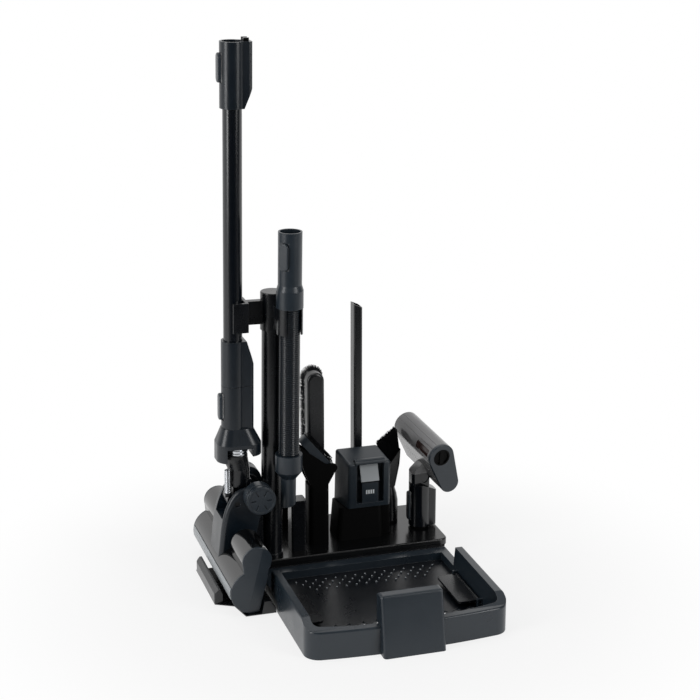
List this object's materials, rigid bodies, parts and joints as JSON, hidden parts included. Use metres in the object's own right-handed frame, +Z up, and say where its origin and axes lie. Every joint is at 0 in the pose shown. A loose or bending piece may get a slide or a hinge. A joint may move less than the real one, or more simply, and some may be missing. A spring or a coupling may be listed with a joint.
{
  "type": "cordless stick vacuum",
  "caption": "Cordless stick vacuum stored on its floor station: wand with powered floor head, hose, brushes, battery on a charger and a slide-out wash tray.",
  "frame": {"origin": "on the floor under the middle of the outline", "axes": "+X right, +Y back, +Z up; the wash tray faces -Y"},
  "size_m": [0.5012, 0.552, 1.0009],
  "materials": {
    "black_plastic": "fine satin grain, near black",
    "gloss_black": "polished near black",
    "dark_grey": "satin dark grey",
    "mid_grey": "satin mid grey",
    "black_tube": "black anodised tube, satin",
    "rubber": "matt",
    "nylon": "stiff black nylon strands",
    "brass": "bright",
    "steel": "drawn",
    "board": "lacquered board",
    "cell": "sleeved",
    "white_mark": "clear light bars"
  },
  "bodies": {
    "station": {"base_shell": "black_plastic", "base_bottom_cover": "black_plastic", "rubber_feet": "rubber", "top_plate": "gloss_black", "head_cradle": "black_plastic", "tool_pegs": "black_plastic", "brush_stand": "black_plastic", "charger_dock": "black_plastic", "charger_board": "board", "charger_contacts": "brass", "post": "black_plastic", "clip_bracket": "black_plastic"},
    "tray": {"wash_tray": "black_plastic", "tray_front_panel": "black_plastic"},
    "left_flap": {"flap_left": "black_plastic"},
    "right_flap": {"flap_right": "black_plastic"},
    "head": {"head_shell": "gloss_black", "head_sole_plate": "black_plastic", "end_cap_front": "dark_grey", "end_cap_back": "dark_grey", "bumper_strip": "mid_grey", "saddle": "black_plastic", "drive_motor": "steel", "drive_belt": "rubber", "wheel_axle": "steel"},
    "roller": {"brush_roller": "nylon"},
    "pulley": {"motor_pulley": "steel"},
    "front_wheel": {"wheel_front": "black_plastic"},
    "back_wheel": {"wheel_back": "black_plastic"},
    "neck": {"neck_tube": "black_plastic", "neck_hose": "gloss_black", "swivel_ring": "gloss_black"},
    "wand": {"neck_socket": "black_plastic", "wand_lower_collar": "black_plastic", "wand_tube": "black_tube", "wand_top_collar": "black_plastic", "wand_contacts": "brass"},
    "neck_release": {"neck_button": "dark_grey"},
    "wand_release": {"wand_button": "dark_grey"},
    "hose": {"hose_cuff": "black_plastic", "ribbed_hose": "dark_grey", "hose_nozzle": "black_plastic"},
    "hose_release": {"hose_button": "dark_grey"},
    "crevice": {"crevice_tool": "black_plastic"},
    "tall_brush": {"tall_brush_body": "black_plastic", "tall_brush_bristles": "nylon"},
    "angle_grip": {"angle_brush_body": "black_plastic"},
    "angle_bar": {"angle_brush_head": "dark_grey", "angle_brush_bristles": "nylon"},
    "dust_brush": {"dust_brush_body": "black_plastic", "dust_brush_bristles": "nylon"},
    "battery": {"battery_case": "black_plastic", "battery_cells": "cell", "battery_lights": "white_mark"},
    "battery_tab": {"battery_latch": "mid_grey"},
    "mini": {"mini_shell": "black_plastic", "mini_end_cap": "dark_grey"},
    "mini_drum": {"mini_roller": "nylon"},
    "mini_turn": {"mini_lock": "gloss_black"},
    "mini_release": {"mini_button": "dark_grey"}
  },
  "joints": [
    {"name": "tray_slide", "type": "slide", "parent": "station", "child": "tray", "axis": [0, -1, 0], "range_m": [0, 0.12]},
    {"name": "left_flap_hinge", "type": "hinge", "parent": "tray", "child": "left_flap", "pos_m": [-0.13063, -0.088, 0.02], "axis": [0, -1, 0], "range_deg": [0, 60]},
    {"name": "right_flap_hinge", "type": "hinge", "parent": "tray", "child": "right_flap", "pos_m": [0.19537, -0.088, 0.02], "axis": [0, 1, 0], "range_deg": [0, 60]},
    {"name": "head_lift", "type": "slide", "parent": "station", "child": "head", "axis": [0, 0, 1], "range_m": [0, 0.015]},
    {"name": "roller_spin", "type": "hinge", "parent": "head", "child": "roller", "pos_m": [-0.19363, 0.11, 0.044], "axis": [0, 1, 0], "continuous": true},
    {"name": "motor_spin", "type": "hinge", "parent": "head", "child": "pulley", "pos_m": [-0.18463, -0.033, 0.102], "axis": [0, 1, 0], "continuous": true},
    {"name": "front_wheel_spin", "type": "hinge", "parent": "head", "child": "front_wheel", "pos_m": [-0.15363, 0.055, 0.18], "axis": [0, 1, 0], "continuous": true},
    {"name": "back_wheel_spin", "type": "hinge", "parent": "head", "child": "back_wheel", "pos_m": [-0.15363, 0.165, 0.18], "axis": [0, 1, 0], "continuous": true},
    {"name": "neck_pitch", "type": "hinge", "parent": "head", "child": "neck", "pos_m": [-0.19063, 0.11, 0.166], "axis": [0, -1, 0], "range_deg": [0, 90]},
    {"name": "wand_swivel", "type": "hinge", "parent": "neck", "child": "wand", "pos_m": [-0.18807, 0.11, 0.27], "axis": [0.0174, 0, 0.9998], "range_deg": [-45, 45]},
    {"name": "neck_button_press", "type": "slide", "parent": "wand", "child": "neck_release", "axis": [0.9998, 0, -0.0174], "range_m": [0, 0.0025], "stiffness_N_per_m": 500, "springref_m": -0.002},
    {"name": "wand_button_press", "type": "slide", "parent": "wand", "child": "wand_release", "axis": [0.9998, 0, -0.0174], "range_m": [0, 0.0025], "stiffness_N_per_m": 500, "springref_m": -0.002},
    {"name": "hose_lift", "type": "slide", "parent": "station", "child": "hose", "axis": [0.0174, 0, 0.9998], "range_m": [0, 0.2]},
    {"name": "hose_button_press", "type": "slide", "parent": "hose", "child": "hose_release", "axis": [0.707, 0.7071, -0.0123], "range_m": [0, 0.0018], "stiffness_N_per_m": 500, "springref_m": -0.002},
    {"name": "crevice_lift", "type": "slide", "parent": "station", "child": "crevice", "axis": [0, 0, 1], "range_m": [0, 0.06]},
    {"name": "tall_brush_lift", "type": "slide", "parent": "station", "child": "tall_brush", "axis": [0, 0, 1], "range_m": [0, 0.06]},
    {"name": "angle_brush_lift", "type": "slide", "parent": "station", "child": "angle_grip", "axis": [0, 0, 1], "range_m": [0, 0.06]},
    {"name": "angle_brush_fold", "type": "hinge", "parent": "angle_grip", "child": "angle_bar", "pos_m": [0.00937, 0.158, 0.188], "axis": [0, 1, 0], "range_deg": [-20, 60]},
    {"name": "dust_brush_lift", "type": "slide", "parent": "station", "child": "dust_brush", "axis": [0, 0, 1], "range_m": [0, 0.06]},
    {"name": "battery_lift", "type": "slide", "parent": "station", "child": "battery", "axis": [0, 0, 1], "range_m": [0, 0.05]},
    {"name": "battery_latch_press", "type": "slide", "parent": "battery", "child": "battery_tab", "axis": [0, 1, 0], "range_m": [0, 0.0025], "stiffness_N_per_m": 500, "springref_m": -0.002},
    {"name": "mini_lift", "type": "slide", "parent": "station", "child": "mini", "axis": [0, 0, 1], "range_m": [0, 0.06]},
    {"name": "mini_roller_spin", "type": "hinge", "parent": "mini", "child": "mini_drum", "pos_m": [0.19987, 0.168, 0.2125], "axis": [-0.1495, 0.9786, 0.141], "continuous": true},
    {"name": "mini_lock_turn", "type": "hinge", "parent": "mini", "child": "mini_turn", "pos_m": [0.21079, 0.09656, 0.20221], "axis": [-0.1495, 0.9786, 0.141], "range_deg": [0, 90]},
    {"name": "mini_button_press", "type": "slide", "parent": "mini", "child": "mini_release", "axis": [1, 0, 0], "range_m": [0, 0.002], "stiffness_N_per_m": 500, "springref_m": -0.002}
  ],
  "couplings": [
    {"joint": "motor_spin", "follows": "roller_spin", "ratio": 1.2857}
  ]
}
